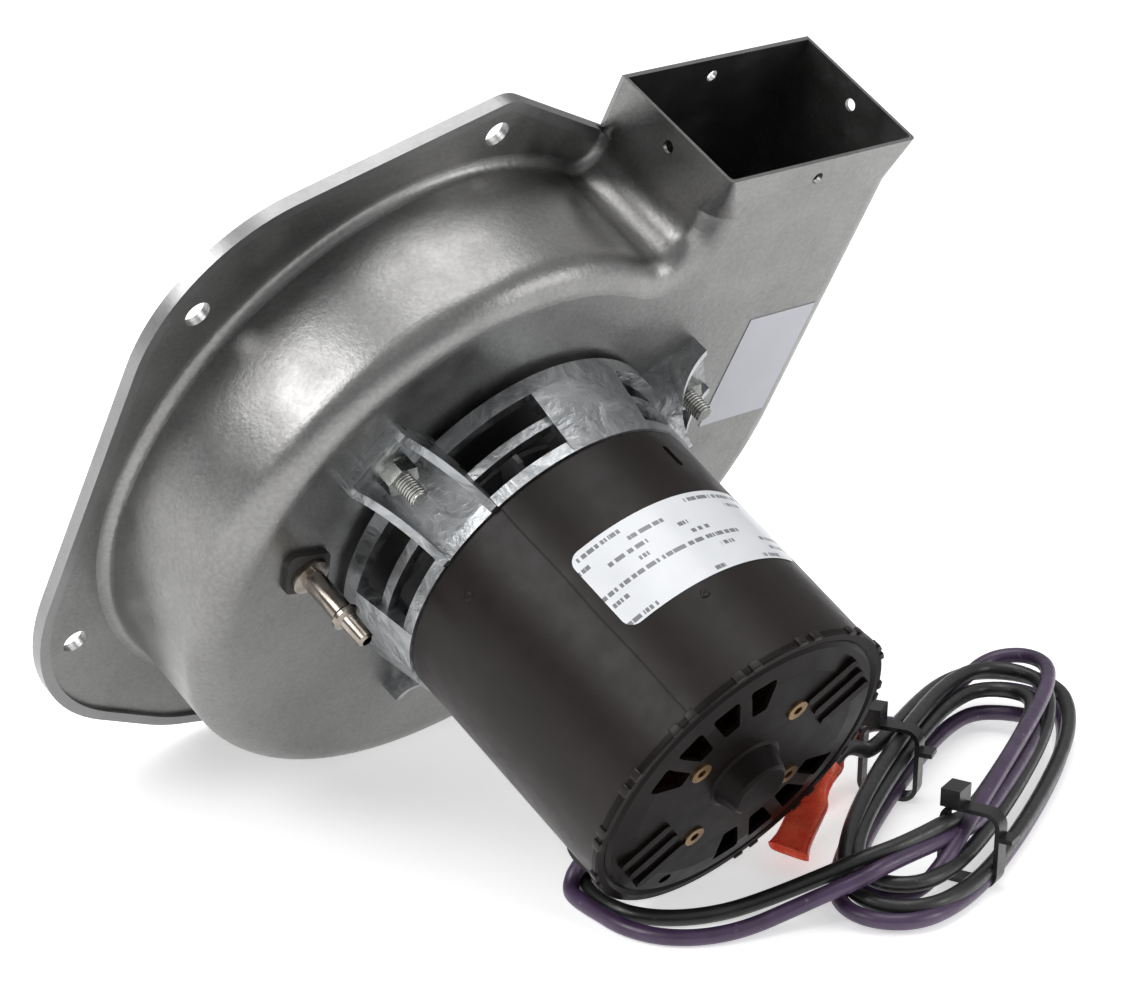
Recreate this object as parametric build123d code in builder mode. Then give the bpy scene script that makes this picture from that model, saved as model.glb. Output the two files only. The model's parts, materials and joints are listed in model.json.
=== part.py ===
# Furnace combustion fan (draft inducer): a drawn-steel scroll with a back plate, a small motor on
# a die-cast mount, a squirrel-cage wheel, a pressure tap and two motor leads wound into a hank.
#
# It lies on its side, resting on the straight lower edge of its mounting flange and on the rear
# rim of the motor. Everything on the fan is drawn on the plane "fan": origin on the shaft axis at
# the mounting face, local Z along the shaft towards the rear of the motor, local Y to the outlet.
from build123d import *
from math import atan2, cos, degrees, radians, sin, tan
import os

os.makedirs("parts", exist_ok=True)

# ---- driving dimensions, mm ------------------------------------------------------------------
sheet = 1.0  # drawn steel of the scroll
plate = 1.2  # back plate
seam_gap = 0.05  # between folded sheets
casing_depth = 41.5  # mounting face to the outer face on the motor side
flange_floor = plate + seam_gap
flange_top = flange_floor + sheet

outlet_left = 35.0
outlet_right = 100.5
outlet_mouth = 91.5
mouth_start = 79.0  # the soft corners of the scroll turn into the sharp ones of the outlet here
mouth_corner = 1.4
mouth_hole = 1.6
mouth_hole_drop = 5.5
spiral_first = 50.0  # angle where the spiral starts, inside the outlet
spiral_fall = 27.5  # how far the wall closes in over three quarters of a turn
spiral_power = 1.15
tongue_radius = 8.0
front_radius = 8.0
foot_radius = 3.0

hem_width = 2.8
hem_top = 3.4
hem_wall = 0.8
flange_bottom = -110.5
hole_radius = 3.4
inlet_radius = 40.0
inlet_lip = 5.5

motor_radius = 42.0
shell_wall = 1.2
shell_start = 65.3
shell_end = 134.4
rim_radius = 42.5
rim_end = 136.0
face_end = 137.2
boss_end = 143.4
shaft_radius = 3.97
running_gap = 0.04
bearing_radius = 7.4

mount_angles = (30.0, 150.0, 270.0)
panel_angles = (90.0, 210.0, 330.0)
panel_half = 17.0
mount_foot = 43.6
mount_top = 65.2
ear_width = 19.0
ear_wall = 2.0
ear_reach = 62.5
ear_floor = 44.6
stud_circle = 54.0
stud_radius = 2.4
stud_end = 55.5
washer_top = 45.4
nut_top = 49.2
nut_flats = 8.0

tap_spot = (-58.5, -4.5)
tap_bore = 1.3
eyelet_circle = 20.0
eyelet_angles = (68.0, 158.0, 248.0, 338.0)
vent_angles = (108.0, 126.5, 145.0, 163.5, 288.0, 306.5, 325.0, 343.5)
rib_angles = (44.0, 224.0)

wheel_radius = 61.0
wheel_near = 6.5
wheel_far = 34.0
blade_count = 36
fan_near = 46.5
fan_far = 58.0
fan_radius = 36.0
fan_blades = 9

lead_radius = 2.0
lead_lift = 2.1  # height of a lead's centre as it lies on the surface
gland_angle = 250.0
gland_height = 120.0
gland_reach = 44.6
hank_centre = (83.5, -117.0)  # from (rest_x, lead_y)
hank_turn = 25.7
hank_long = 68.0  # half length and half width of the oval that the turns make
hank_wide = 17.0
hank_width = 13.0
hank_low = 1.35
hank_top = 18.5
tie_wall = 1.2
tie_angles = (87.0, 237.0)  # round the oval
terminal_length = 24.0

# where the foot of the shaft's origin stands, seen from the centre of the footprint
rest_x = -14.0
rest_y = 44.9
lead_y = rest_y + 0.95  # the leads' points are measured from (rest_x, lead_y)

tilt = degrees(atan2(-flange_bottom - rim_radius, rim_end - hem_top))
fall = sin(radians(tilt))
level = cos(radians(tilt))
fan = Plane(
    origin=(rest_x, rest_y, -flange_bottom * level + hem_top * fall),
    x_dir=(1, 0, 0),
    z_dir=(0, -level, -fall),
)
section = Plane(origin=fan.origin, x_dir=fan.x_dir, z_dir=-fan.y_dir)
shaft_axis = Axis(fan.origin, fan.z_dir)
outlet_axis = Axis(fan.origin, fan.y_dir)

# corners of the mounting flange with their radii, anticlockwise from the top hole
flange_corners = (
    (-4, 94.3, 10),
    (-94, 66, 45),
    (-94, -77, 56),
    (-38, -103.8, 60),
    (-10, flange_bottom, 60),
    (56, flange_bottom, 45),
    (100, -92, 24),
    (122, -48, 40),
    (122, 30, 30),
    (110, 60, 10),
    (60, 65.1, 5),
)
flange_holes = ((-4, 83.2), (-80, 46.6), (-80, -58.9), (95, -78), (111, 26))


def polar(radius, angle):
    """Point on the fan plane."""
    return (radius * cos(radians(angle)), radius * sin(radians(angle)))


def radial_plane(angle):
    """Plane through the shaft axis: local X outward at this angle, local Y along the shaft."""
    out = fan.x_dir * cos(radians(angle)) + fan.y_dir * sin(radians(angle))
    return Plane(origin=fan.origin, x_dir=out, z_dir=out.cross(fan.z_dir))


def surface_plane(angle, height, radius):
    """Plane on a cylinder round the shaft: local Z outward, local Y along the shaft."""
    out = fan.x_dir * cos(radians(angle)) + fan.y_dir * sin(radians(angle))
    origin = fan.origin + out * radius + fan.z_dir * height
    return Plane(origin=origin, x_dir=fan.z_dir.cross(out), z_dir=out)


def turned(height, angle, spot=(0, 0)):
    """Plane at this height along the shaft, its local X turned to the angle."""
    base = fan.offset(height)
    along = fan.x_dir * cos(radians(angle)) + fan.y_dir * sin(radians(angle))
    return Plane(origin=base.from_local_coords((*spot, 0)), x_dir=along, z_dir=fan.z_dir)


def save(part, name):
    part.label = name
    export_step(part, f"parts/{name}.step")


def ring(low, high, outer, inner):
    """Ring round the shaft, added to the part that is being built."""
    with BuildSketch(fan.offset(low)) as washer:
        Circle(outer)
        if inner > 0:
            Circle(inner, mode=Mode.SUBTRACT)
    extrude(washer.sketch, amount=high - low)


# ---- the scroll ------------------------------------------------------------------------------
def spiral_point(angle, inset):
    """The wall grows anticlockwise from the tongue to the outer wall of the outlet."""
    turn = (360 - angle) / 270
    return polar(outlet_right - spiral_fall * turn**spiral_power - inset, angle)


def mouth_section(at, left, right, floor, height, corner):
    """Outlet cross-section at a distance along local Y, with its two front corners rounded."""
    with BuildSketch(section.offset(-at)) as outlet:
        with Locations(((left + right) / 2, (floor + height) / 2)):
            Rectangle(right - left, height - floor)
        fillet(outlet.vertices().group_by(Axis.Y)[-1], corner)
    return outlet.sketch


def casing_form(inset, floor, mouth):
    """Solid form of scroll and outlet, drawn in from the outer surface by inset."""
    height = casing_depth - inset
    left = outlet_left + inset
    right = outlet_right - inset
    steps = 14
    span = 360 - spiral_first
    points = [spiral_point(spiral_first + span * i / steps, inset) for i in range(steps + 1)]
    with BuildPart() as form:
        with BuildSketch(fan.offset(floor)) as outline:
            with BuildLine():
                wall = Spline(*points)
                Line(wall @ 1, wall @ 0)
            make_face()
            with Locations(((left + right) / 2, mouth_start / 2)):
                Rectangle(right - left, mouth_start)
            tongue = outline.vertices().sort_by_distance((left, 63))[0]
            fillet(tongue, tongue_radius + inset)
        extrude(amount=height - floor)
        front = form.faces().sort_by(shaft_axis)[-1]
        fillet(front.edges().sort_by(outlet_axis)[:-1], front_radius - inset)
        soft = mouth_section(mouth_start, left, right, floor, height, front_radius - inset)
        sharp = mouth_section(mouth, left, right, floor, height, mouth_corner - inset / 2)
        loft([soft, sharp])
    return form.part


def flange_outline(inset):
    """Outline of the mounting flange, drawn in by inset."""
    with BuildSketch() as outline:
        with BuildLine():
            FilletPolyline(
                *[(x, y) for x, y, _ in flange_corners],
                radius=[r for _, _, r in flange_corners],
                close=True,
            )
        make_face()
        if inset > 0:
            offset(amount=-inset)
    return outline.sketch


casing_outside = casing_form(0, flange_floor, outlet_mouth)
casing_inside = casing_form(sheet, flange_floor - 0.5, outlet_mouth + 0.5)
mouth_level = outlet_mouth - mouth_hole_drop
outlet_middle = (outlet_left + outlet_right) / 2

with BuildPart() as scroll_housing:
    with BuildSketch(fan.offset(flange_floor)):
        add(flange_outline(hem_wall + seam_gap))
    extrude(amount=sheet)
    add(casing_outside)
    flange_line = scroll_housing.faces().filter_by(fan).group_by(shaft_axis)[1].edges()
    fillet(flange_line.filter_by(GeomType.BSPLINE), foot_radius)
    add(casing_inside, mode=Mode.SUBTRACT)
    with BuildSketch(fan.offset(flange_floor)):
        with Locations(*flange_holes):
            Circle(hole_radius)
    extrude(amount=sheet, mode=Mode.SUBTRACT)
    # shaft opening, stud holes and the way into the pressure tap
    with BuildSketch(fan.offset(casing_depth - sheet)):
        Circle(13)
        with Locations(*[polar(stud_circle, a) for a in mount_angles]):
            Circle(stud_radius + 0.05)
        with Locations(tap_spot):
            Circle(tap_bore)
    extrude(amount=sheet, mode=Mode.SUBTRACT)
    # one small hole in the middle of each outlet wall, for the vent connector's screws
    with BuildSketch(fan.offset(casing_depth - sheet)):
        with Locations((outlet_middle, mouth_level)):
            Circle(mouth_hole)
    extrude(amount=sheet, mode=Mode.SUBTRACT)
    side = Plane(origin=fan.origin, x_dir=fan.y_dir, z_dir=fan.x_dir)
    with BuildSketch(side.offset(outlet_left - 1)):
        with Locations((mouth_level, casing_depth / 2)):
            Circle(mouth_hole)
    extrude(amount=outlet_right - outlet_left + 2, mode=Mode.SUBTRACT)
save(scroll_housing.part, "scroll_housing")

with BuildPart() as back_plate:
    with BuildSketch(fan) as sheet_metal:
        add(flange_outline(0))
        with Locations((outlet_middle, outlet_mouth / 2 + 20)):
            Rectangle(outlet_right - outlet_left, outlet_mouth - 40)
        Circle(inlet_radius, mode=Mode.SUBTRACT)
        with Locations(*flange_holes):
            Circle(hole_radius, mode=Mode.SUBTRACT)
        with Locations((outlet_middle, mouth_level)):
            Circle(mouth_hole, mode=Mode.SUBTRACT)
    extrude(amount=plate)
    # the edge is folded up and over the scroll's flange
    with BuildSketch(fan.offset(plate)) as fold:
        add(flange_outline(0))
        add(flange_outline(hem_wall), mode=Mode.SUBTRACT)
        with Locations((outlet_middle, 75)):
            Rectangle(outlet_right - outlet_left + 2 * foot_radius + 1, 60, mode=Mode.SUBTRACT)
    extrude(amount=hem_top - plate)
    with BuildSketch(fan.offset(flange_top + seam_gap)) as lip:
        add(flange_outline(0.1))
        add(flange_outline(hem_width), mode=Mode.SUBTRACT)
        with Locations((outlet_middle, 75)):
            Rectangle(outlet_right - outlet_left + 2 * foot_radius + 1, 60, mode=Mode.SUBTRACT)
    extrude(amount=hem_top - flange_top - seam_gap)
    # rolled inlet lip that leads into the wheel
    with BuildSketch(section):
        with BuildLine():
            Polyline(
                (inlet_radius, plate),
                (inlet_radius, inlet_lip),
                (inlet_radius + 1, inlet_lip),
                (inlet_radius + 1.6, plate + 1.6),
                (inlet_radius + 3.2, plate),
                (inlet_radius, plate),
            )
        make_face()
    revolve(axis=shaft_axis)
save(back_plate.part, "back_plate")


# ---- the die-cast motor mount ----------------------------------------------------------------
def panel(angle):
    """Solid wall panel of the cage between two windows."""
    with BuildPart() as wall:
        with BuildSketch(radial_plane(angle - panel_half)):
            with BuildLine():
                Polyline(
                    (43.0, mount_foot),
                    (46.2, mount_foot),
                    (46.2, mount_foot + 4.4),
                    (42.8, mount_top),
                    (39.6, mount_top),
                    close=True,
                )
            make_face()
        revolve(axis=shaft_axis, revolution_arc=2 * panel_half)
    return wall.part


def ear(angle):
    """Mounting ear: a stud floor between two side walls, with a hollow back to hold the nut."""
    plane = radial_plane(angle)
    with BuildPart() as lug:
        with BuildSketch(plane):
            with BuildLine():
                Polyline((42.8, mount_top), (40.0, mount_top), (43.6, casing_depth))
                Polyline((43.6, casing_depth), (ear_reach, casing_depth), (ear_reach, ear_floor + 1.6))
                ThreePointArc((ear_reach, ear_floor + 1.6), (49.6, 53.0), (42.8, mount_top))
            make_face()
        extrude(amount=ear_width / 2, both=True)
        with BuildSketch(plane):
            with BuildLine():
                ThreePointArc((47.6, ear_floor), (44.8, 52.5), (41.4, mount_top + 1))
                Polyline(
                    (41.4, mount_top + 1),
                    (ear_reach + 1, mount_top + 1),
                    (ear_reach + 1, ear_floor),
                    (47.6, ear_floor),
                )
            make_face()
        extrude(amount=ear_width / 2 - ear_wall, both=True, mode=Mode.SUBTRACT)
    return lug.part


with BuildPart() as motor_mount:
    ring(mount_foot, mount_foot + 4.4, 46.2, 43.0)
    ring(53.8, 56.4, 43.4, 40.6)
    ring(62.0, mount_top, 42.8, 39.6)
    ring(mount_top, mount_top + 3.6, 40.7, 39.0)
    for angle in panel_angles:
        add(panel(angle))
    for angle in mount_angles:
        add(ear(angle))
    # three arms carry the front bearing inside the cage
    with BuildSketch(fan.offset(60.5)):
        with PolarLocations(24, 3, start_angle=mount_angles[0]):
            Rectangle(32, 7)
    extrude(amount=mount_top - 60.5)
    ring(59.4, 67.5, 10.6, 0)
    with BuildSketch(fan.offset(59)):
        Circle(bearing_radius + 0.02)
    extrude(amount=9, mode=Mode.SUBTRACT)
    with BuildSketch(fan.offset(casing_depth)):
        with Locations(*[polar(stud_circle, a) for a in mount_angles]):
            Circle(stud_radius + 0.25)
    extrude(amount=6, mode=Mode.SUBTRACT)
save(motor_mount.part, "motor_mount")

with BuildPart() as mount_studs:
    for low, high, size in (
        (casing_depth - sheet - 1.4, casing_depth - sheet, 4.5),
        (casing_depth - sheet, stud_end, stud_radius),
    ):
        with BuildSketch(fan.offset(low)):
            with Locations(*[polar(stud_circle, a) for a in mount_angles]):
                Circle(size)
        extrude(amount=high - low)
    chamfer(mount_studs.faces().filter_by(fan).sort_by(shaft_axis)[-3:].edges(), 0.5)
save(mount_studs.part, "mount_studs")

with BuildPart() as mount_washers:
    with BuildSketch(fan.offset(ear_floor)):
        with Locations(*[polar(stud_circle, a) for a in mount_angles]):
            Circle(4.6)
            Circle(stud_radius + 0.1, mode=Mode.SUBTRACT)
    extrude(amount=washer_top - ear_floor)
save(mount_washers.part, "mount_washers")

with BuildPart() as mount_nuts:
    with BuildSketch(fan.offset(washer_top)):
        with Locations(*[polar(stud_circle, a) for a in mount_angles]):
            RegularPolygon(nut_flats / 2, 6, major_radius=False)
            Circle(stud_radius + 0.01, mode=Mode.SUBTRACT)
    extrude(amount=nut_top - washer_top)
save(mount_nuts.part, "mount_nuts")

# ---- the pressure tap ------------------------------------------------------------------------
with BuildPart() as tap_gasket:
    with BuildSketch(turned(casing_depth, -42, tap_spot)) as diamond:
        with BuildLine():
            Polyline((-12, 0), (0, -7.2), (12, 0), (0, 7.2), close=True)
        make_face()
        fillet(diamond.vertices(), 2.0)
        Circle(tap_bore, mode=Mode.SUBTRACT)
    extrude(amount=1.6)
save(tap_gasket.part, "tap_gasket")

tap_foot = turned(casing_depth, 0, tap_spot)

with BuildPart() as pressure_tap:
    with BuildSketch(Plane(origin=tap_foot.origin, x_dir=fan.x_dir, z_dir=-fan.y_dir)):
        with BuildLine():
            Polyline(
                (tap_bore, 1.6),
                (5.0, 1.6),
                (5.0, 3.0),
                (2.8, 3.4),
                (2.8, 15.2),
                (3.6, 16.0),
                (3.6, 16.9),
                (2.3, 17.6),
                (2.0, 24.2),
                (tap_bore, 24.8),
                close=True,
            )
        make_face()
    revolve(axis=Axis(tap_foot.origin, fan.z_dir))
save(pressure_tap.part, "pressure_tap")

# ---- the motor -------------------------------------------------------------------------------
gland_out = surface_plane(gland_angle, gland_height, 0)

with BuildPart() as motor_shell:
    ring(shell_start, shell_end, motor_radius, motor_radius - shell_wall)
    # ventilation slot near the mount, and the hole for the lead gland
    with BuildSketch(surface_plane(73, 74, motor_radius - 3)):
        SlotOverall(7, 2, rotation=90)
    extrude(amount=5, mode=Mode.SUBTRACT)
    with BuildSketch(gland_out.offset(motor_radius - 3)):
        Circle(5.0)
    extrude(amount=5, mode=Mode.SUBTRACT)
save(motor_shell.part, "motor_shell")

with BuildPart() as rear_cap:
    with BuildSketch(section):
        with BuildLine():
            Polyline(
                (0, boss_end),
                (6.8, boss_end),
                (7.6, boss_end - 0.7),
                (9.4, face_end + 0.4),
                (10.4, face_end),
                (32.0, face_end),
                (38.4, rim_end + 0.2),
                (39.4, rim_end - 0.6),
                (40.4, rim_end),
                (42.1, rim_end),
                (rim_radius, rim_end - 0.4),
                (rim_radius, shell_end),
                (40.7, shell_end),
                (40.7, shell_end - 2.6),
                (39.6, shell_end - 2.6),
                (39.4, rim_end - 2.0),
                (38.4, rim_end - 1.0),
                (32.0, face_end - 1.2),
                (9.6, face_end - 1.2),
                (9.6, 132.4),
                (bearing_radius + 0.02, 132.4),
                (bearing_radius + 0.02, boss_end - 3.0),
                (5.0, boss_end - 1.2),
                (0, boss_end - 1.2),
                close=True,
            )
        make_face()
    revolve(axis=shaft_axis)
    # four vents on each side, between the two groups of pressed ribs
    for angle in vent_angles:
        with BuildSketch(fan.offset(face_end - 3)) as vent:
            with BuildLine():
                tip = [polar(r, angle + a) for r, a in ((24, -5), (34.5, -6.5), (34.5, 6.5), (24, 5))]
                Polyline(*tip, close=True)
            make_face()
            fillet(vent.vertices(), 1.0)
        extrude(amount=5, mode=Mode.SUBTRACT)
    for angle in rib_angles:
        for shift in (-7.2, 0, 7.2):
            with BuildSketch(turned(face_end - 0.6, angle)):
                with Locations((28.5, shift)):
                    SlotOverall(15, 3.0)
            extrude(amount=1.4)
    with BuildSketch(fan.offset(face_end - 3)):
        with Locations(*[polar(eyelet_circle, a) for a in eyelet_angles]):
            Circle(1.9)
        with Locations(polar(34.7, 255)):
            Circle(1.7)
    extrude(amount=5, mode=Mode.SUBTRACT)
save(rear_cap.part, "rear_cap")

with BuildPart() as cap_eyelets:
    for low, high, size in ((face_end - 3, face_end, 1.85), (face_end, face_end + 0.5, 2.8)):
        with BuildSketch(fan.offset(low)):
            with Locations(*[polar(eyelet_circle, a) for a in eyelet_angles]):
                Circle(size)
                Circle(1.2, mode=Mode.SUBTRACT)
        extrude(amount=high - low)
save(cap_eyelets.part, "cap_eyelets")

with BuildPart() as stator_core:
    ring(84, 112, motor_radius - shell_wall - 0.02, 33)
    with BuildSketch(fan.offset(84)):
        with PolarLocations(29.5, 12):
            Rectangle(9.5, 6)
    extrude(amount=28)
    with BuildSketch(fan.offset(84)):
        Circle(25)
    extrude(amount=28, mode=Mode.SUBTRACT)
save(stator_core.part, "stator_core")

with BuildPart() as stator_windings:
    for low in (74, 112):
        with BuildSketch(fan.offset(low)):
            Circle(37)
            Circle(27, mode=Mode.SUBTRACT)
        extrude(amount=10)
save(stator_windings.part, "stator_windings")


def bearing(name, low, high):
    """Sleeve bearing with running clearance on the shaft."""
    with BuildPart() as sleeve:
        ring(low, high, bearing_radius, shaft_radius + running_gap)
    save(sleeve.part, name)


bearing("front_bearing", 60.0, 67.0)
bearing("rear_bearing", 132.6, 140.2)


def label_band(start, sweep, low, high, radius, thickness):
    """Thin label wrapped round the motor."""
    with BuildPart() as band:
        with BuildSketch(radial_plane(start)):
            with BuildLine():
                Polyline(
                    (radius, low), (radius + thickness, low), (radius + thickness, high),
                    (radius, high), close=True,
                )
            make_face()
        revolve(axis=shaft_axis, revolution_arc=sweep)
    return band.part


save(label_band(46, 87, 86.6, 110.2, motor_radius, 0.15), "motor_label")

with BuildPart() as housing_label:
    with BuildSketch(fan.offset(casing_depth)):
        with Locations((80.7, 22.4)):
            Rectangle(23.6, 36)
    extrude(amount=0.15)
save(housing_label.part, "housing_label")

# ---- the rotor -------------------------------------------------------------------------------
with BuildPart() as shaft:
    ring(10, 141.6, shaft_radius, 0)
    chamfer(shaft.edges().filter_by(GeomType.CIRCLE), 0.4)
save(shaft.part, "shaft")

with BuildPart() as rotor_core:
    ring(83, 113, 24.6, shaft_radius)
save(rotor_core.part, "rotor_core")

with BuildPart() as thrust_washers:
    ring(67.4, 68.6, 6.5, shaft_radius)
    ring(130.6, 131.8, 6.5, shaft_radius)
save(thrust_washers.part, "thrust_washers")

with BuildPart() as wheel_hub:
    ring(14, 33, 9.0, shaft_radius)
    ring(31.5, 33, 16, shaft_radius)
    with BuildSketch(Plane(origin=fan.origin + fan.z_dir * 22, x_dir=fan.x_dir, z_dir=fan.y_dir)):
        Circle(2.02)
    extrude(amount=12, mode=Mode.SUBTRACT)
save(wheel_hub.part, "wheel_hub")

with BuildPart() as wheel_disc:
    ring(33, wheel_far, wheel_radius, shaft_radius + 3)
save(wheel_disc.part, "wheel_disc")

with BuildSketch() as blade:
    with BuildLine():
        ThreePointArc(polar(51.8, 0), polar(56.8, 2.6), polar(60.6, 8.5))
        Line(polar(60.6, 8.5), polar(61.0, 7.9))
        ThreePointArc(polar(61.0, 7.9), polar(57.2, 2.0), polar(51.8, -0.8))
        Line(polar(51.8, -0.8), polar(51.8, 0))
    make_face()

with BuildPart() as wheel_blades:
    ring(wheel_near, wheel_near + 1.0, wheel_radius, 51)
    ring(32.2, 33, wheel_radius, 51)
    with BuildSketch(fan.offset(wheel_near + 0.5)):
        with PolarLocations(0, blade_count):
            add(blade.sketch)
    extrude(amount=26)
save(wheel_blades.part, "wheel_blades")

with BuildPart() as set_screw:
    with BuildSketch(Plane(origin=fan.origin + fan.z_dir * 22, x_dir=fan.x_dir, z_dir=fan.y_dir)):
        Circle(2.0)
    extrude(amount=9.4)
    with BuildSketch(fan.offset(18)):
        Circle(shaft_radius)
    extrude(amount=8, mode=Mode.SUBTRACT)
save(set_screw.part, "set_screw")

with BuildPart() as cooling_fan:
    ring(fan_near, fan_far, 8.0, shaft_radius)
    ring(fan_near, fan_near + 1.2, 22, shaft_radius)
    for i in range(fan_blades):
        spoke = radial_plane(360 * i / fan_blades)
        with BuildSketch(spoke):
            with BuildLine():
                Polyline(
                    (7, fan_near), (22, fan_near), (fan_radius, fan_near + 4), (fan_radius, fan_far - 1.5),
                    (30, fan_far), (7, fan_far), close=True,
                )
            make_face()
        extrude(amount=0.6, both=True)
save(cooling_fan.part, "cooling_fan")


# ---- the two leads, laid on the surface and wound into a hank --------------------------------
def on_surface(x, y, z=0):
    """Point given from the leads' own reference point on the surface."""
    return (x + rest_x, y + lead_y, z)


hank_frame = Plane(
    origin=on_surface(*hank_centre),
    x_dir=(cos(radians(hank_turn)), sin(radians(hank_turn)), 0),
    z_dir=(0, 0, 1),
)


def on_hank(x, y, z):
    """Point given along, across and above the hank."""
    return hank_frame.from_local_coords((x, y, z))


def lead(name, points):
    """One lead: a tube of straight runs joined by tangent arcs, each as large as its runs allow."""
    points = [Vector(*p) for p in points]
    runs = [b - a for a, b in zip(points, points[1:])]
    radii = []
    for before, after in zip(runs, runs[1:]):
        half = radians(before.get_angle(after)) / 2
        radii.append(0.45 * min(before.length, after.length) / tan(half))
    with BuildPart() as tube:
        with BuildLine() as route:
            FilletPolyline(*points, radius=radii)
        with BuildSketch(Plane(origin=points[0], z_dir=runs[0])):
            Circle(lead_radius)
        sweep(path=route.wires()[0])
    length = route.wires()[0].length
    print(name, "radii", [round(r, 1) for r in radii], "length", round(length, 1))
    print("  volume against section x length", round(tube.part.volume / (12.566 * length), 4))
    save(tube.part, name)


with BuildPart() as lead_gland:
    with BuildSketch(gland_out.offset(41.0)):
        Circle(4.95)
    extrude(amount=1.1)
    with BuildSketch(gland_out.offset(42.1)):
        Circle(6.5)
    extrude(amount=gland_reach - 42.1)
save(lead_gland.part, "lead_gland")

lead(
    "lead_black_run",
    [
        on_surface(*p)
        for p in (
            (-13.2, -88.3, 7.0),
            (-13.99, -87.33, 5.07),
            (-15.34, -87.59, 3.22),
            (-16.78, -88.99, lead_lift),
            (-19.0, -93.4, lead_lift),
            (-20.9, -100.5, lead_lift),
            (-20.3, -107.5, lead_lift),
            (-15.8, -114.5, lead_lift),
            (-7.5, -119.8, lead_lift),
            (3.0, -123.4, 2.6),
            (12.0, -129.4, 6.2),
            (19.5, -136.0, 10.5),
        )
    ],
)
lead(
    "lead_violet_run",
    [
        on_surface(*p)
        for p in (
            (-17.5, -88.9, 8.5),
            (-18.7, -87.65, 6.0),
            (-20.6, -88.1, 3.6),
            (-22.6, -90.0, lead_lift),
            (-24.2, -94.9, lead_lift),
            (-25.2, -102.0, lead_lift),
            (-26.4, -110.8, lead_lift),
            (-24.0, -120.0, lead_lift),
            (-16.5, -127.2, lead_lift),
            (-6.0, -131.4, 2.6),
            (6.0, -135.4, 5.4),
            (17.5, -141.8, 9.6),
        )
    ],
)

with BuildPart() as lead_hank:
    with BuildSketch(hank_frame.offset(hank_low)):
        Ellipse(hank_long + hank_width / 2, hank_wide + hank_width / 2)
        Ellipse(hank_long - hank_width / 2, hank_wide - hank_width / 2, mode=Mode.SUBTRACT)
    extrude(amount=hank_top - hank_low)
    rounded = lead_hank.edges().filter_by(Plane.XY).group_by(Axis.Z)
    fillet(rounded[0] + rounded[-1], 3.0)
save(lead_hank.part, "lead_hank")

for number, angle in enumerate(tie_angles, 1):
    along = hank_long * cos(radians(angle))
    side = hank_wide * sin(radians(angle))
    outward = hank_frame.x_dir * (along / hank_long**2) + hank_frame.y_dir * (side / hank_wide**2)
    outward = outward.normalized()
    if side < 0:
        outward = -outward
    # the head is on the side away from the row's front, the cut tail on the other
    cross = Plane(origin=on_hank(along, side, 0), x_dir=outward, z_dir=outward.cross(Vector(0, 0, 1)))
    with BuildPart() as cable_tie:
        with BuildSketch(cross.offset(-2.4)):
            with Locations((0, (hank_low + hank_top) / 2)):
                RectangleRounded(
                    hank_width + 0.2 + 2 * tie_wall, hank_top - hank_low + 2 * tie_wall, 4.0
                )
                RectangleRounded(
                    hank_width + 0.2, hank_top - hank_low + 0.2, 2.8, mode=Mode.SUBTRACT
                )
        extrude(amount=4.8)
        with BuildSketch(cross.offset(-3.4)):
            with Locations((hank_width / 2 - 1.6, hank_top + 3.2)):
                Rectangle(5.0, 4.6)
        extrude(amount=6.8)
        with BuildSketch(cross.offset(-2.4)):
            with Locations((-hank_width / 2 - 2.6, hank_top - 5.0)):
                Rectangle(4.0, 1.2)
        extrude(amount=4.8)
    save(cable_tie.part, f"cable_tie_{number}")

for number, colour, tail, mouth in (
    (
        1,
        "violet",
        ((22.0, 19.0, 11.5), (15.5, 22.6, 14.2), (9.5, 25.8, 15.6), (3.5, 28.3, 14.4)),
        (-18.5, 35.5, 2.9),
    ),
    (
        2,
        "black",
        ((-5.0, 20.0, 14.5), (-12.5, 21.8, 19.0), (-21.0, 23.3, 22.0), (-29.0, 24.5, 19.5)),
        (-47.0, 28.6, 3.3),
    ),
):
    lead(f"lead_{colour}_tail", [on_hank(*p) for p in tail])
    start = on_hank(*tail[-1])
    along = (on_hank(*mouth) - start).normalized()
    across = along.cross(Vector(*hank_frame.y_dir)).cross(along).normalized()
    edge = Plane(origin=start, x_dir=across, z_dir=along)
    # insulated quick connector: a round barrel that grips the lead and a flat box round the metal
    with BuildPart() as insulator:
        with BuildSketch(edge.offset(-1.5)) as collar:
            Circle(3.2)
        with BuildSketch(edge.offset(7.5)) as waist:
            RectangleRounded(5.6, 5.0, 2.3)
        loft([collar.sketch, waist.sketch])
        with BuildSketch(edge.offset(7.5)):
            RectangleRounded(8.6, 4.2, 1.2)
        extrude(amount=terminal_length - 8.0)
        with BuildSketch(edge.offset(8.6)):
            Rectangle(7.2, 2.8)
        extrude(amount=terminal_length, mode=Mode.SUBTRACT)
        with BuildSketch(edge.offset(-1.6)):
            Circle(lead_radius + 0.02)
        extrude(amount=11, mode=Mode.SUBTRACT)
    save(insulator.part, f"insulator_{number}")
    with BuildPart() as receptacle:
        with BuildSketch(edge.offset(2.0)):
            Circle(1.6)
        extrude(amount=7.2)
        with BuildSketch(edge.offset(9.2)):
            Rectangle(7.0, 2.6)
            Rectangle(6.4, 0.9, mode=Mode.SUBTRACT)
        extrude(amount=terminal_length - 12.0)
        with BuildSketch(edge.offset(9.0)):
            Rectangle(7.0, 2.6)
        extrude(amount=0.4)
    save(receptacle.part, f"terminal_{number}")
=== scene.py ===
import bpy
import json
from math import atan2, cos, degrees, pi, radians, sin
from mathutils import Matrix, Vector


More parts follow.
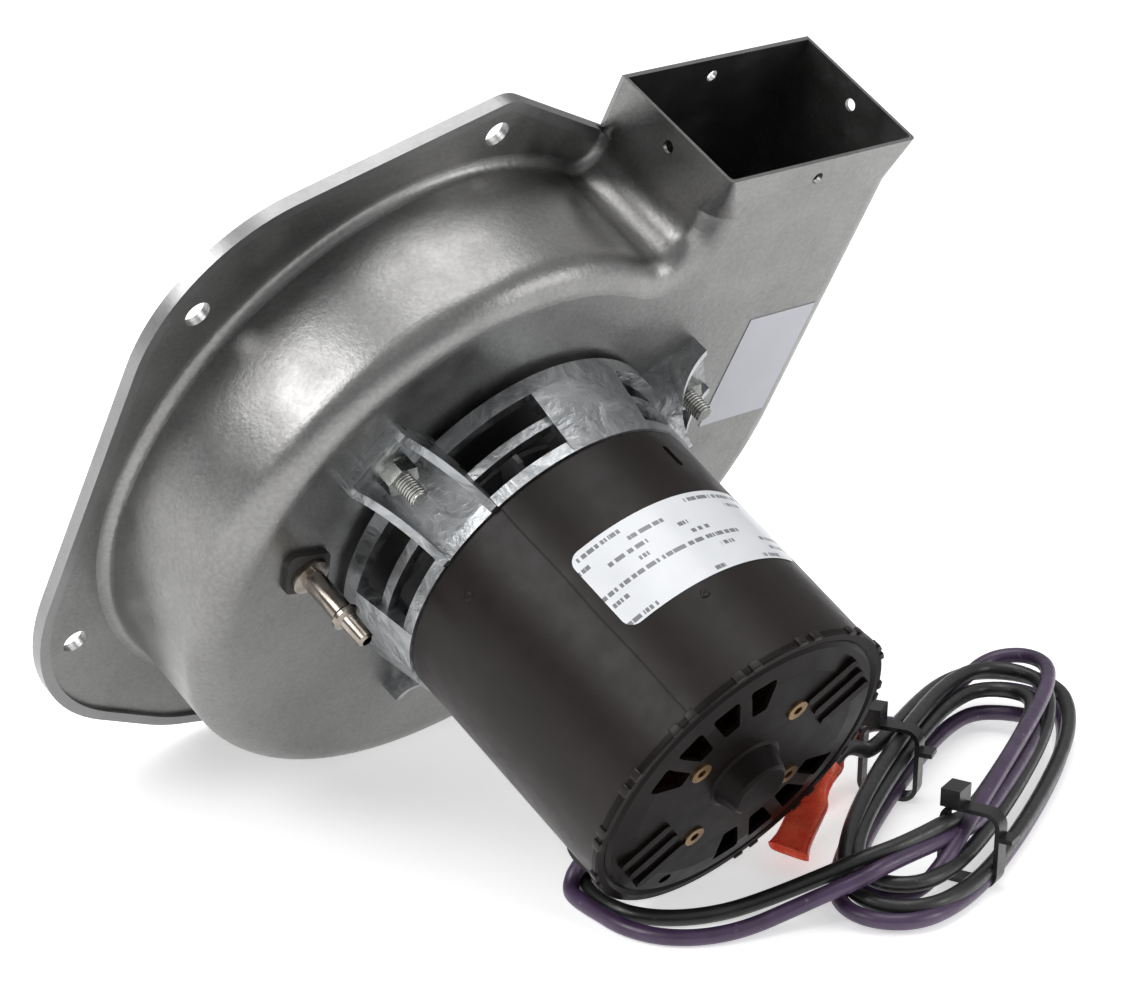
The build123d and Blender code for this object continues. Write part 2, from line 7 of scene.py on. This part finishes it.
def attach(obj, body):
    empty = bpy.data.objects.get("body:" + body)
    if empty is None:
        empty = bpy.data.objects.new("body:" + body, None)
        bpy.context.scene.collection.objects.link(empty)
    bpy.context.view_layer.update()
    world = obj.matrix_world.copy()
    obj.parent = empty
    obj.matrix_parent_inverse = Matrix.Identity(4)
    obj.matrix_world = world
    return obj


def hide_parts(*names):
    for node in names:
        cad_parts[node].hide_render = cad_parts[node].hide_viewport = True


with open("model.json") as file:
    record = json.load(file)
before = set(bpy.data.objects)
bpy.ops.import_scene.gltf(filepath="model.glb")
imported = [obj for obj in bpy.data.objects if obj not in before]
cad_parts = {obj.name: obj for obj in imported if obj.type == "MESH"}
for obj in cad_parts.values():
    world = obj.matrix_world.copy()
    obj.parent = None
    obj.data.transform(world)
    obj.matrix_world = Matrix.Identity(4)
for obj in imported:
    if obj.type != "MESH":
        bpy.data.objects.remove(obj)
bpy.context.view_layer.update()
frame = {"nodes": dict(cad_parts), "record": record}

nodes = frame["nodes"]

# ---- the fan's own axes: Z along the shaft to the rear of the motor, Y to the outlet ----------
FALL = 0.4563166
LEVEL = 0.8898175
ORIGIN = Vector((-0.014, 0.0449, 0.0998763))
FAN = Matrix(((1, 0, 0), (0, -FALL, -LEVEL), (0, LEVEL, -FALL)))


def on_fan(x, y, z):
    """Point given in mm on the fan's own axes."""
    return ORIGIN + FAN @ Vector((x, y, z)) / 1000


def round_shaft(radius, angle, z):
    """Point in mm round the shaft."""
    return on_fan(radius * cos(radians(angle)), radius * sin(radians(angle)), z)


# ---- camera -----------------------------------------------------------------------------------
camera = bpy.data.objects.new("camera", bpy.data.cameras.new("camera"))
bpy.context.scene.collection.objects.link(camera)
camera.location = (-0.611105, -0.618817, 0.393874)
camera.rotation_euler = [radians(a) for a in (70.24469, -1.26277, -44.24445)]
camera.data.lens = 121.985
camera.data.sensor_width = 36
bpy.context.scene.camera = camera


# ---- materials --------------------------------------------------------------------------------
class Look:
    """A procedural material round one Principled shader."""

    def __init__(self, name, **sockets):
        self.material = bpy.data.materials.new(name)
        self.material.use_nodes = True
        self.tree = self.material.node_tree
        self.shader = self.tree.nodes["Principled BSDF"]
        for key, value in sockets.items():
            self.set(key.replace("_", " "), value)
        self.place = self.tree.nodes.new("ShaderNodeTexCoord").outputs["Object"]

    def set(self, socket, value):
        if isinstance(value, bpy.types.NodeSocket):
            self.tree.links.new(value, self.shader.inputs[socket])
        else:
            if isinstance(value, tuple) and len(value) == 3:
                value = (*value, 1)
            self.shader.inputs[socket].default_value = value

    def node(self, kind, inputs, **settings):
        made = self.tree.nodes.new("ShaderNode" + kind)
        for key, value in settings.items():
            setattr(made, key, value)
        for key, value in inputs.items():
            if isinstance(value, bpy.types.NodeSocket):
                self.tree.links.new(value, made.inputs[key])
            else:
                if isinstance(value, tuple) and len(value) == 3 and made.inputs[key].type == "RGBA":
                    value = (*value, 1)
                made.inputs[key].default_value = value
        return made.outputs[0]

    def noise(self, size, detail=3.0, distortion=0.0):
        """Noise whose features are this many mm across."""
        return self.node("TexNoise", {
            "Vector": self.place, "Scale": 1000 / size, "Detail": detail, "Distortion": distortion,
        })

    def range(self, value, low, high, to_low=0.0, to_high=1.0):
        return self.node("MapRange", {0: value, 1: low, 2: high, 3: to_low, 4: to_high})

    def mix(self, share, a, b):
        return self.node("MixRGB", {"Fac": share, "Color1": a, "Color2": b})

    def math(self, operation, a, b=0.0):
        return self.node("Math", {0: a, 1: b}, operation=operation)

    def bump(self, *layers):
        """Each layer is a height from 0 to 1 and its depth in mm."""
        normal = None
        for height, depth in layers:
            inputs = {"Strength": 1.0, "Distance": depth / 1000, "Height": height}
            if normal:
                inputs["Normal"] = normal
            normal = self.node("Bump", inputs)
        self.set("Normal", normal)

    def fan_place(self):
        """The surface point on the fan's own axes, in metres."""
        return self.node("Mapping", {
            "Vector": self.place, "Location": tuple(ORIGIN), "Rotation": tuple(FAN.to_euler()),
        }, vector_type="TEXTURE")

    def split(self, vector):
        made = self.tree.nodes.new("ShaderNodeSeparateXYZ")
        self.tree.links.new(vector, made.inputs[0])
        return made.outputs


def drawn_steel(name, dark, light, roughness, grain):
    look = Look(name, Metallic=1.0)
    cloud = look.range(look.noise(38, 4), 0.35, 0.65)
    fleck = look.range(look.noise(1.1, 2), 0.3, 0.7)
    base = look.mix(cloud, dark, light)
    look.set("Base Color", look.mix(0.45, base, look.mix(fleck, dark, light)))
    look.set("Roughness", look.range(look.noise(9, 4), 0.3, 0.7, roughness - 0.05, roughness + 0.06))
    look.bump((look.noise(2.0, 3), grain), (look.noise(0.7, 2), grain * 0.6), (look.noise(60, 1), 0.35))
    return look.material


def cast_metal():
    look = Look("cast aluminium", Metallic=1.0)
    flow = look.noise(13, 6, 2.2)
    fine = look.noise(2.2, 5, 0.8)
    look.set("Base Color", look.mix(look.range(flow, 0.3, 0.7), (0.24, 0.25, 0.26), (0.47, 0.48, 0.49)))
    look.set("Roughness", look.range(fine, 0.3, 0.7, 0.26, 0.42))
    look.bump((flow, 0.5), (fine, 0.13), (look.noise(0.6, 2), 0.02))
    return look.material


def plated(name, dark, light, roughness, pitch=0.0):
    """Plated metal; with a pitch, screw threads run along the shaft's direction."""
    look = Look(name, Metallic=1.0)
    stain = look.noise(6, 3)
    look.set("Base Color", look.mix(look.range(stain, 0.35, 0.65), dark, light))
    look.set("Roughness", look.range(look.noise(2, 3), 0.3, 0.7, roughness - 0.04, roughness + 0.06))
    layers = [(look.noise(1.2, 2), 0.012)]
    if pitch:
        z = look.split(look.fan_place())[2]
        turns = look.math("MULTIPLY", z, 2 * pi * 1000 / pitch)
        wave = look.math("SINE", turns)
        layers.append((look.range(wave, -1.0, 1.0), 0.35))
    look.bump(*layers)
    return look.material


def black_paint(name, depth, specular):
    look = Look(name)
    cloud = look.range(look.noise(22, 3), 0.35, 0.65)
    look.set("Base Color", look.mix(
        cloud,
        (0.0085 * depth, 0.0058 * depth, 0.0052 * depth),
        (0.0125 * depth, 0.009 * depth, 0.008 * depth),
    ))
    look.set("Roughness", look.range(look.noise(5, 4), 0.3, 0.7, 0.32, 0.42))
    look.set("Specular IOR Level", specular)
    look.bump((look.noise(0.9, 3), 0.015), (look.noise(30, 1), 0.12))
    return look.material


def plastic(name, dark, light, roughness, grain=0.01, size=0.7, **sockets):
    look = Look(name, **sockets)
    look.set("Base Color", look.mix(look.range(look.noise(6, 4), 0.35, 0.65), dark, light))
    look.set("Roughness", look.range(look.noise(3, 3), 0.3, 0.7, roughness - 0.05, roughness + 0.07))
    look.bump((look.noise(size, 2), grain))
    return look.material


def insulation(name, dark, light, mark):
    """Lead insulation with faint worn marks along it."""
    look = Look(name)
    base = look.mix(look.range(look.noise(7, 4), 0.35, 0.65), dark, light)
    worn = look.range(look.noise(1.3, 4, 0.6), 0.66, 0.74)
    look.set("Base Color", look.mix(look.math("MULTIPLY", worn, 0.5), base, mark))
    look.set("Roughness", look.range(look.noise(2.5, 3), 0.3, 0.7, 0.3, 0.44))
    look.set("Specular IOR Level", 0.6)
    look.bump((look.noise(4, 2), 0.1), (look.noise(0.6, 2), 0.01))
    return look.material


def laminations():
    look = Look("laminations", Metallic=1.0)
    z = look.split(look.fan_place())[2]
    wave = look.range(look.math("SINE", look.math("MULTIPLY", z, 2 * pi * 1000 / 0.64)), -1.0, 1.0)
    look.set("Base Color", look.mix(wave, (0.14, 0.14, 0.15), (0.34, 0.34, 0.35)))
    look.set("Roughness", look.range(look.noise(3, 3), 0.3, 0.7, 0.35, 0.5))
    look.bump((wave, 0.08), (look.noise(1, 3), 0.02))
    return look.material


def windings():
    look = Look("enamelled copper", Metallic=0.85, Coat_Weight=0.6)
    place = look.split(look.fan_place())
    across = look.math("ADD", place[0], place[1])
    wave = look.range(look.math("SINE", look.math("MULTIPLY", across, 2 * pi * 1000 / 0.7)), -1.0, 1.0)
    look.set("Base Color", look.mix(wave, (0.24, 0.07, 0.025), (0.66, 0.28, 0.11)))
    look.set("Roughness", look.range(look.noise(2, 3), 0.3, 0.7, 0.25, 0.4))
    look.bump((wave, 0.2))
    return look.material


def printed_film(name, ground, ink, metallic, rows, row_height, motor):
    """A label with rows of plain dashes where print would be, and no lettering."""
    look = Look(name, Metallic=metallic, Roughness=0.32, Coat_Weight=0.2)
    place = look.split(look.fan_place())
    up = place[2]
    if motor:
        turn = look.math("ARCTAN2", place[1], place[0])
        along = look.math("MULTIPLY", turn, 0.0425)
    else:
        along = place[0]
    row = look.math("DIVIDE", up, row_height / 1000)
    inside = look.math("PINGPONG", row, 0.5)
    band = look.math("GREATER_THAN", inside, 0.3)
    index = look.math("FLOOR", row)
    cell = look.node("CombineXYZ", {0: along, 1: look.math("MULTIPLY", index, 0.37), 2: 0.0})
    fine = look.node("TexNoise", {"Vector": cell, "Scale": 900.0, "Detail": 1.0})
    coarse = look.node("TexNoise", {"Vector": cell, "Scale": 75.0, "Detail": 0.0})
    dash = look.math("GREATER_THAN", fine, 0.47)
    group = look.math("GREATER_THAN", coarse, 0.54)
    marks = look.math("MULTIPLY", look.math("MULTIPLY", band, dash), group)
    cloud = look.range(look.noise(9, 3), 0.3, 0.7, 0.93, 1.0)
    look.set("Base Color", look.mix(look.math("MULTIPLY", marks, rows), look.mix(cloud, ink, ground), ink))
    look.bump((look.noise(3, 2), 0.02))
    return look.material


def red_vinyl():
    look = Look("translucent vinyl", Transmission_Weight=0.4, IOR=1.3)
    cloud = look.range(look.noise(5, 4), 0.3, 0.7)
    look.set("Base Color", look.mix(cloud, (0.88, 0.06, 0.03), (0.98, 0.2, 0.1)))
    look.set("Roughness", look.range(look.noise(1.5, 3), 0.3, 0.7, 0.18, 0.32))
    look.bump((look.noise(1.8, 3), 0.05))
    return look.material


looks = {
    "casing_steel": drawn_steel("drawn steel", (0.19, 0.188, 0.185), (0.29, 0.288, 0.285), 0.36, 0.06),
    "plate_steel": drawn_steel("plate steel", (0.24, 0.24, 0.24), (0.29, 0.29, 0.29), 0.35, 0.03),
    "die_cast": cast_metal(),
    "plated_steel": plated("zinc plate", (0.32, 0.33, 0.31), (0.48, 0.49, 0.46), 0.26),
    "black_rubber": plastic("black rubber", (0.012, 0.011, 0.01), (0.022, 0.02, 0.018), 0.62, 0.04, 1.2),
    "plated_brass": plated("plated brass", (0.24, 0.21, 0.18), (0.42, 0.38, 0.34), 0.2),
    "motor_black": black_paint("motor paint", 1.0, 0.2),
    "eyelet_brass": plated("eyelet brass", (0.22, 0.13, 0.06), (0.4, 0.26, 0.12), 0.34),
    "lamination": laminations(),
    "winding_copper": windings(),
    "bearing_bronze": plated("sintered bronze", (0.32, 0.2, 0.1), (0.52, 0.36, 0.2), 0.45),
    "motor_label": printed_film("motor label", (0.7, 0.715, 0.74), (0.05, 0.05, 0.06), 0.0, 0.8, 2.9, True),
    "housing_label": printed_film(
        "housing label", (0.42, 0.43, 0.47), (0.1, 0.1, 0.11), 0.35, 0.6, 2.8, False,
    ),
    "lead_black": insulation(
        "black insulation", (0.009, 0.009, 0.009), (0.017, 0.017, 0.017), (0.12, 0.12, 0.12),
    ),
    "lead_violet": insulation(
        "violet insulation", (0.04, 0.021, 0.056), (0.066, 0.036, 0.09), (0.3, 0.24, 0.34),
    ),
    "black_nylon": plastic("black nylon", (0.006, 0.006, 0.006), (0.011, 0.011, 0.011), 0.3, 0.05, 1.1),
    "red_insulator": red_vinyl(),
    "tinned_terminal": plated("tinned brass", (0.55, 0.52, 0.46), (0.75, 0.73, 0.68), 0.22),
    "shaft_steel": plated("ground steel", (0.4, 0.4, 0.4), (0.6, 0.6, 0.6), 0.22),
    "fan_plastic": plastic("grey plastic", (0.24, 0.24, 0.25), (0.33, 0.33, 0.34), 0.42),
}
threads = plated("zinc threads", (0.3, 0.3, 0.29), (0.44, 0.44, 0.42), 0.26, 0.8)

for subpart in frame["record"]["subparts"]:
    node = nodes[subpart["node"]]
    node.data.materials.clear()
    node.data.materials.append(looks[subpart["material_slot"]])

cap_paint = black_paint("cap paint", 0.5, 0.09)
nodes["rear_cap"].data.materials.clear()
nodes["rear_cap"].data.materials.append(cap_paint)
nodes["mount_studs"].data.materials.clear()
nodes["mount_studs"].data.materials.append(threads)


# ---- the two leads ----------------------------------------------------------------------------
LEAD_RADIUS = 0.002
HANK_TURN = radians(25.7)
HANK_BLUNTNESS = 0.66  # 1 gives an ellipse; the less it is, the blunter the ends of the oval


def on_surface(x, y, z):
    """Point in mm from the leads' own reference point."""
    return Vector((x - 14.0, y + 45.85, z)) / 1000


def on_hank(x, y, z):
    """Point in mm along, across and above the hank."""
    return on_surface(
        83.5 + x * cos(HANK_TURN) - y * sin(HANK_TURN),
        -117.0 + x * sin(HANK_TURN) + y * cos(HANK_TURN),
        z,
    )


def smooth(t):
    """Eases from 0 to 1."""
    return t * t * (3 - 2 * t)


def turns(stations, first, last, step=22.5):
    """Points of the loose turns, from the reach and height at each end and side of the oval.

    Stations are a quarter of a turn apart, starting at the front side (270 degrees); the reach is
    along the hank at its ends and across it at its sides.
    """
    points = []
    s = first
    while s <= last + 1e-6:
        place = (s - 270) / 90
        index = min(int(place // 1), len(stations) - 2) if place >= 0 else 0
        reach = {}
        for kind in (0, 1):
            before = max((k for k in range(len(stations)) if k % 2 == kind and k <= place), default=kind)
            after = min((k for k in range(len(stations)) if k % 2 == kind and k >= place), default=before)
            share = smooth((place - before) / (after - before)) if after > before else 0
            reach[kind] = stations[before][0] + (stations[after][0] - stations[before][0]) * share
        share = smooth(min(max(place - index, 0), 1))
        height = stations[index][1] + (stations[index + 1][1] - stations[index][1]) * share
        c = cos(radians(s))
        d = sin(radians(s))
        x = reach[1] * abs(c) ** HANK_BLUNTNESS * (1 if c > 0 else -1)
        y = reach[0] * abs(d) ** HANK_BLUNTNESS * (1 if d > 0 else -1)
        points.append(on_hank(x, y, height))
        s += step
    return points


def lead(name, points, slot, swaps, pieces):
    data = bpy.data.curves.new(name, "CURVE")
    data.dimensions = "3D"
    data.bevel_depth = LEAD_RADIUS
    data.bevel_resolution = 5
    data.resolution_u = 10
    data.use_fill_caps = True
    spline = data.splines.new("NURBS")
    spline.points.add(len(points) - 1)
    for target, point in zip(spline.points, points):
        target.co = (*point, 1)
    spline.order_u = 3
    spline.use_endpoint_u = True
    data.materials.append(looks[slot])
    made = bpy.data.objects.new(name, data)
    bpy.context.scene.collection.objects.link(made)
    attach(made, "fan_body")
    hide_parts(*swaps)
    return made


black_points = [on_surface(*p) for p in (
    (-13.2, -88.3, 7.0), (-13.99, -87.33, 5.07), (-15.34, -87.59, 3.22), (-16.78, -88.99, 2.1),
    (-19.0, -93.4, 2.1), (-20.9, -100.5, 2.1), (-20.3, -107.5, 2.1), (-15.8, -114.5, 2.1),
    (-7.5, -119.8, 2.1), (3.0, -123.4, 2.6),
)]
black_points += [on_hank(*p) for p in (
    (-67, 12, 10.5), (-64, 6.5, 13.5), (-57, -0.5, 15), (-47.5, -6, 16), (-42, -8.5, 16.5),
)]
black_points += turns((
    (11.5, 13), (57, 11), (13.5, 12), (63, 8), (16, 9), (64, 14), (15, 16.3), (68, 4.5),
    (21, 5), (74, 9), (20, 13),
), 247.5, 1147.5)
black_points += [on_hank(*p) for p in (
    (-5, 20, 14.5), (-12.5, 21.8, 19), (-21, 23.3, 22), (-29, 24.5, 19.5),
)]

violet_points = [on_surface(*p) for p in (
    (-17.5, -88.9, 8.5), (-18.7, -87.65, 6.0), (-20.6, -88.1, 3.6), (-22.6, -90.0, 2.1),
    (-24.2, -94.9, 2.1), (-25.2, -102.0, 2.1), (-26.4, -110.8, 2.1), (-24.0, -120.0, 2.1),
    (-16.5, -127.2, 2.1), (-6.0, -131.4, 2.6),
)]
violet_points += [on_hank(*p) for p in (
    (-78, 18, 5), (-74, 11, 8.5), (-69, 4.5, 11), (-63, 0, 13), (-45, -9, 13.5),
)]
violet_points += turns((
    (14.5, 12), (56, 5), (14.5, 3.8), (60, 3), (13.5, 17), (71, 16), (16, 8), (73, 3),
    (20.5, 2.5), (68, 7), (19, 5),
), 247.5, 1125.0)
violet_points += [on_hank(*p) for p in (
    (22, 19, 11.5), (15.5, 22.6, 14.2), (9.5, 25.8, 15.6), (3.5, 28.3, 14.4),
)]

def piece(name, vertices, faces, look, body, bevel=0.0):
    data = bpy.data.meshes.new(name)
    data.from_pydata([tuple(v) for v in vertices], [], faces)
    data.validate()
    data.materials.append(look)
    made = bpy.data.objects.new(name, data)
    bpy.context.scene.collection.objects.link(made)
    if bevel:
        modifier = made.modifiers.new("edges", "BEVEL")
        modifier.width = bevel / 1000
        modifier.segments = 3
        modifier.limit_method = "ANGLE"
    for polygon in data.polygons:
        polygon.use_smooth = True
    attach(made, body)
    return made


def lofted(place, along, wide, flat, sections, count=36):
    """Rounded rings along a line: distance, half width, half thickness and squareness of each."""
    vertices = []
    faces = []
    for distance, half_width, half_thick, power in sections:
        for k in range(count):
            c = cos(2 * pi * k / count)
            d = sin(2 * pi * k / count)
            x = half_width * abs(c) ** (2 / power) * (1 if c > 0 else -1)
            y = half_thick * abs(d) ** (2 / power) * (1 if d > 0 else -1)
            vertices.append(place + (along * distance + wide * x + flat * y) / 1000)
    for i in range(len(sections) - 1):
        for k in range(count):
            n = (k + 1) % count
            a = i * count
            faces.append((a + k, a + n, a + count + n, a + count + k))
    return vertices, faces


def quick_connector(number, tail_end, mouth):
    """A lead's insulated connector: a collar, a flared funnel round the blade slot and the metal."""
    start = on_hank(*tail_end)
    along = (on_hank(*mouth) - start).normalized()
    wide = Vector((-sin(HANK_TURN), cos(HANK_TURN), 0))
    wide = (wide - along * wide.dot(along)).normalized()
    flat = along.cross(wide)
    vertices, faces = lofted(start, along, wide, flat, (
        (-1.4, 2.3, 2.3, 2.0), (-1.5, 2.9, 2.9, 2.0), (-1.0, 3.15, 3.15, 2.0), (1.5, 2.95, 2.9, 2.0),
        (5.0, 2.85, 2.6, 2.2), (7.0, 3.2, 2.3, 2.6), (8.6, 4.1, 2.05, 3.4), (10.0, 4.3, 2.0, 4.5),
        (18.0, 4.3, 2.0, 4.5), (20.5, 4.45, 2.1, 4.5), (22.6, 5.0, 2.55, 4.0), (23.4, 5.3, 2.8, 4.0),
        (23.5, 5.15, 2.6, 4.0), (22.8, 4.5, 2.1, 4.0), (20.6, 3.9, 1.6, 4.5), (18.0, 3.75, 1.5, 4.5),
        (10.4, 3.7, 1.45, 4.5), (8.0, 2.2, 1.4, 3.0),
    ))
    sleeve = piece(
        f"connector_sleeve_{number}", vertices, faces, looks["red_insulator"], "fan_body",
    )
    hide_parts(f"insulator_{number}")
    # the metal inside: a crimp barrel, then a flat receptacle whose edges curl in over the slot
    vertices, faces = lofted(start, along, wide, flat, (
        (2.0, 1.7, 1.6, 2.0), (5.5, 1.7, 1.5, 2.0), (7.5, 1.6, 1.0, 2.2), (9.0, 3.3, 0.95, 4.0),
        (9.4, 3.5, 1.2, 6.0), (16.8, 3.5, 1.2, 6.0), (17.3, 3.4, 1.05, 6.0), (17.2, 2.9, 0.5, 6.0),
        (12.0, 2.9, 0.45, 6.0),
    ))
    metal = piece(
        f"receptacle_{number}", vertices, faces, looks["tinned_terminal"], "fan_body",
    )
    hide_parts(f"terminal_{number}")
    # the D-shaped dimple that catches the blade
    ring = []
    for k in range(24):
        a = 2 * pi * k / 24
        ring.append((1.5 * cos(a), max(1.5 * sin(a), -0.7)))
    vertices = []
    faces = []
    for scale, rise in ((1.0, 2.0), (0.85, 2.22), (0.6, 2.05)):
        for x, y in ring:
            vertices.append(start + (along * (20.0 + y * scale) + wide * x * scale + flat * rise) / 1000)
    for band in range(2):
        for k in range(24):
            n = (k + 1) % 24
            a = band * 24
            faces.append((a + k, a + n, a + 24 + n, a + 24 + k))
    faces.append(tuple(range(48, 72)))
    dimple = piece(
        f"catch_{number}", vertices, faces, looks["red_insulator"], "fan_body",
    )
    return [sleeve, metal, dimple]


lead(
    "black_lead", black_points, "lead_black",
    ("lead_black_run", "lead_hank", "lead_black_tail"),
    quick_connector(2, (-29, 24.5, 19.5), (-47, 28.6, 3.3)),
)
lead(
    "violet_lead", violet_points, "lead_violet",
    ("lead_violet_run", "lead_violet_tail"),
    quick_connector(1, (3.5, 28.3, 14.4), (-18.5, 35.5, 2.9)),
)


# ---- small things on the motor ----------------------------------------------------------------
def bent_block(angle, reach, low, high, inner, outer, steps=4):
    """A small block that follows the shell round the shaft: its corners and faces."""
    vertices = []
    faces = []
    for i in range(steps + 1):
        turn = angle - reach / 2 + reach * i / steps
        pinch = 1 - 0.12 * abs(2 * i / steps - 1)
        pinched = outer * pinch + inner * (1 - pinch)
        for radius, z in ((inner, low), (pinched, low), (outer, high), (inner, high)):
            vertices.append(round_shaft(radius, turn, z))
    for i in range(steps):
        a = 4 * i
        for j in range(4):
            k = (j + 1) % 4
            faces.append((a + j, a + k, a + 4 + k, a + 4 + j))
    faces.append((0, 3, 2, 1))
    last = 4 * steps
    faces.append((last, last + 1, last + 2, last + 3))
    return vertices, faces


# pairs of small blocks round the shell
vertices = []
faces = []
for angle in range(-60, 240, 25):
    for shift in (-3.2, 3.2):
        more, made = bent_block(angle + shift, 3.6, 133.9, 136.25, 41.9, 43.05)
        faces += [tuple(k + len(vertices) for k in face) for face in made]
        vertices += more
piece("rim_crimps", vertices, faces, looks["motor_black"], "fan_body", 0.25)


def fine_line(name, points, radius, look, body="fan_body"):
    """A thin line along points."""
    data = bpy.data.curves.new(name, "CURVE")
    data.dimensions = "3D"
    data.bevel_depth = radius / 1000
    data.bevel_resolution = 2
    data.use_fill_caps = True
    spline = data.splines.new("POLY")
    spline.points.add(len(points) - 1)
    for target, point in zip(spline.points, points):
        target.co = (*point, 1)
    data.materials.append(look)
    made = bpy.data.objects.new(name, data)
    bpy.context.scene.collection.objects.link(made)
    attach(made, body)
    return made


# the motor's label, a film with rounded corners; lengths in mm
FILM_RADIUS = 42.12
FILM_MIDDLE = 94.0
vertices = []
faces = []
columns = 60
corner = 3.2
half = 28.6
for i in range(columns + 1):
    along = half * sin(pi / 2 * (2 * i / columns - 1))
    cut = max(0.0, abs(along) - (half - corner))
    inset = corner - (corner ** 2 - min(cut, corner) ** 2) ** 0.5
    turn = FILM_MIDDLE - degrees(along / 42.1)
    vertices.append(round_shaft(FILM_RADIUS, turn, 86.5 + inset))
    vertices.append(round_shaft(FILM_RADIUS, turn, 110.0 - inset))
for i in range(columns):
    faces.append((2 * i, 2 * i + 1, 2 * i + 3, 2 * i + 2))
film = piece("motor_label_film", vertices, faces, looks["motor_label"], "fan_body")
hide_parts("motor_label")

# two small pressed spots in the paint
vertices = []
faces = []
for angle, z in ((164.0, 74.0), (107.3, 113.3)):
    start = len(vertices)
    for radius, rise in ((1.25, 0.0), (0.95, 0.3), (0.4, 0.18)):
        for k in range(20):
            a = 2 * pi * k / 20
            reach = radius * (1 + 0.12 * sin(3 * a + angle))
            turn = angle + degrees(reach * cos(a) / 42)
            vertices.append(round_shaft(42.0 + rise, turn, z + reach * sin(a)))
    vertices.append(round_shaft(42.05, angle, z))
    for ring in range(2):
        for k in range(20):
            n = (k + 1) % 20
            a = start + 20 * ring
            faces.append((a + k, a + n, a + 20 + n, a + 20 + k))
    for k in range(20):
        faces.append((start + 40 + k, start + 40 + (k + 1) % 20, start + 60))
piece("paint_spots", vertices, faces, looks["motor_black"], "fan_body")

fine_line(
    "shell_seam", [round_shaft(41.96, 137 + 0.15 * sin(k), 65.6 + k * 4.6) for k in range(16)],
    0.24, looks["motor_black"],
)

# ---- floor, light and surroundings ------------------------------------------------------------
floor_look = Look("studio floor", Roughness=0.9)
floor_cloud = floor_look.noise(400, 2)
floor_look.set("Base Color", floor_look.mix(floor_cloud, (0.9, 0.9, 0.9), (0.93, 0.93, 0.93)))
floor_look.set("Emission Color", (1.0, 1.0, 1.0))
floor_look.set("Emission Strength", 0.5)
floor_mesh = bpy.data.meshes.new("floor")
reach = 40.0
corners = [(-reach, -reach, 0), (reach, -reach, 0), (reach, reach, 0), (-reach, reach, 0)]
floor_mesh.from_pydata(corners, [], [(0, 1, 2, 3)])
floor_mesh.materials.append(floor_look.material)
floor = bpy.data.objects.new("floor", floor_mesh)
bpy.context.scene.collection.objects.link(floor)

world = bpy.data.worlds.new("studio")
bpy.context.scene.world = world
world.use_nodes = True
tree = world.node_tree
back = tree.nodes["Background"]
place = tree.nodes.new("ShaderNodeTexCoord")
parts = tree.nodes.new("ShaderNodeSeparateXYZ")
ramp = tree.nodes.new("ShaderNodeValToRGB")
tree.links.new(place.outputs["Generated"], parts.inputs[0])
tree.links.new(parts.outputs[2], ramp.inputs[0])
tree.links.new(ramp.outputs[0], back.inputs["Color"])
ramp.color_ramp.elements[0].position = 0.0
ramp.color_ramp.elements[0].color = (0.55, 0.55, 0.56, 1)
ramp.color_ramp.elements[1].position = 0.75
ramp.color_ramp.elements[1].color = (1, 1, 1, 1)
back.inputs["Strength"].default_value = 0.55


def softbox(name, spot, aim, width, height, power):
    """An area light aimed at a point, in metres and watts."""
    data = bpy.data.lights.new(name, "AREA")
    data.shape = "RECTANGLE"
    data.size = width
    data.size_y = height
    data.energy = power
    made = bpy.data.objects.new(name, data)
    bpy.context.scene.collection.objects.link(made)
    made.location = spot
    made.rotation_euler = (Vector(aim) - Vector(spot)).to_track_quat("-Z", "Y").to_euler()


bpy.context.scene.view_settings.view_transform = "Standard"
softbox("key", (-1.0, 0.3, 0.9), (0, 0, 0.08), 0.7, 0.7, 9)
softbox("fill", (0.7, -1.1, 0.5), (0, 0, 0.06), 0.5, 0.6, 4)
softbox("top", (0.1, 0.1, 1.4), (0, 0, 0.05), 0.9, 0.9, 7)
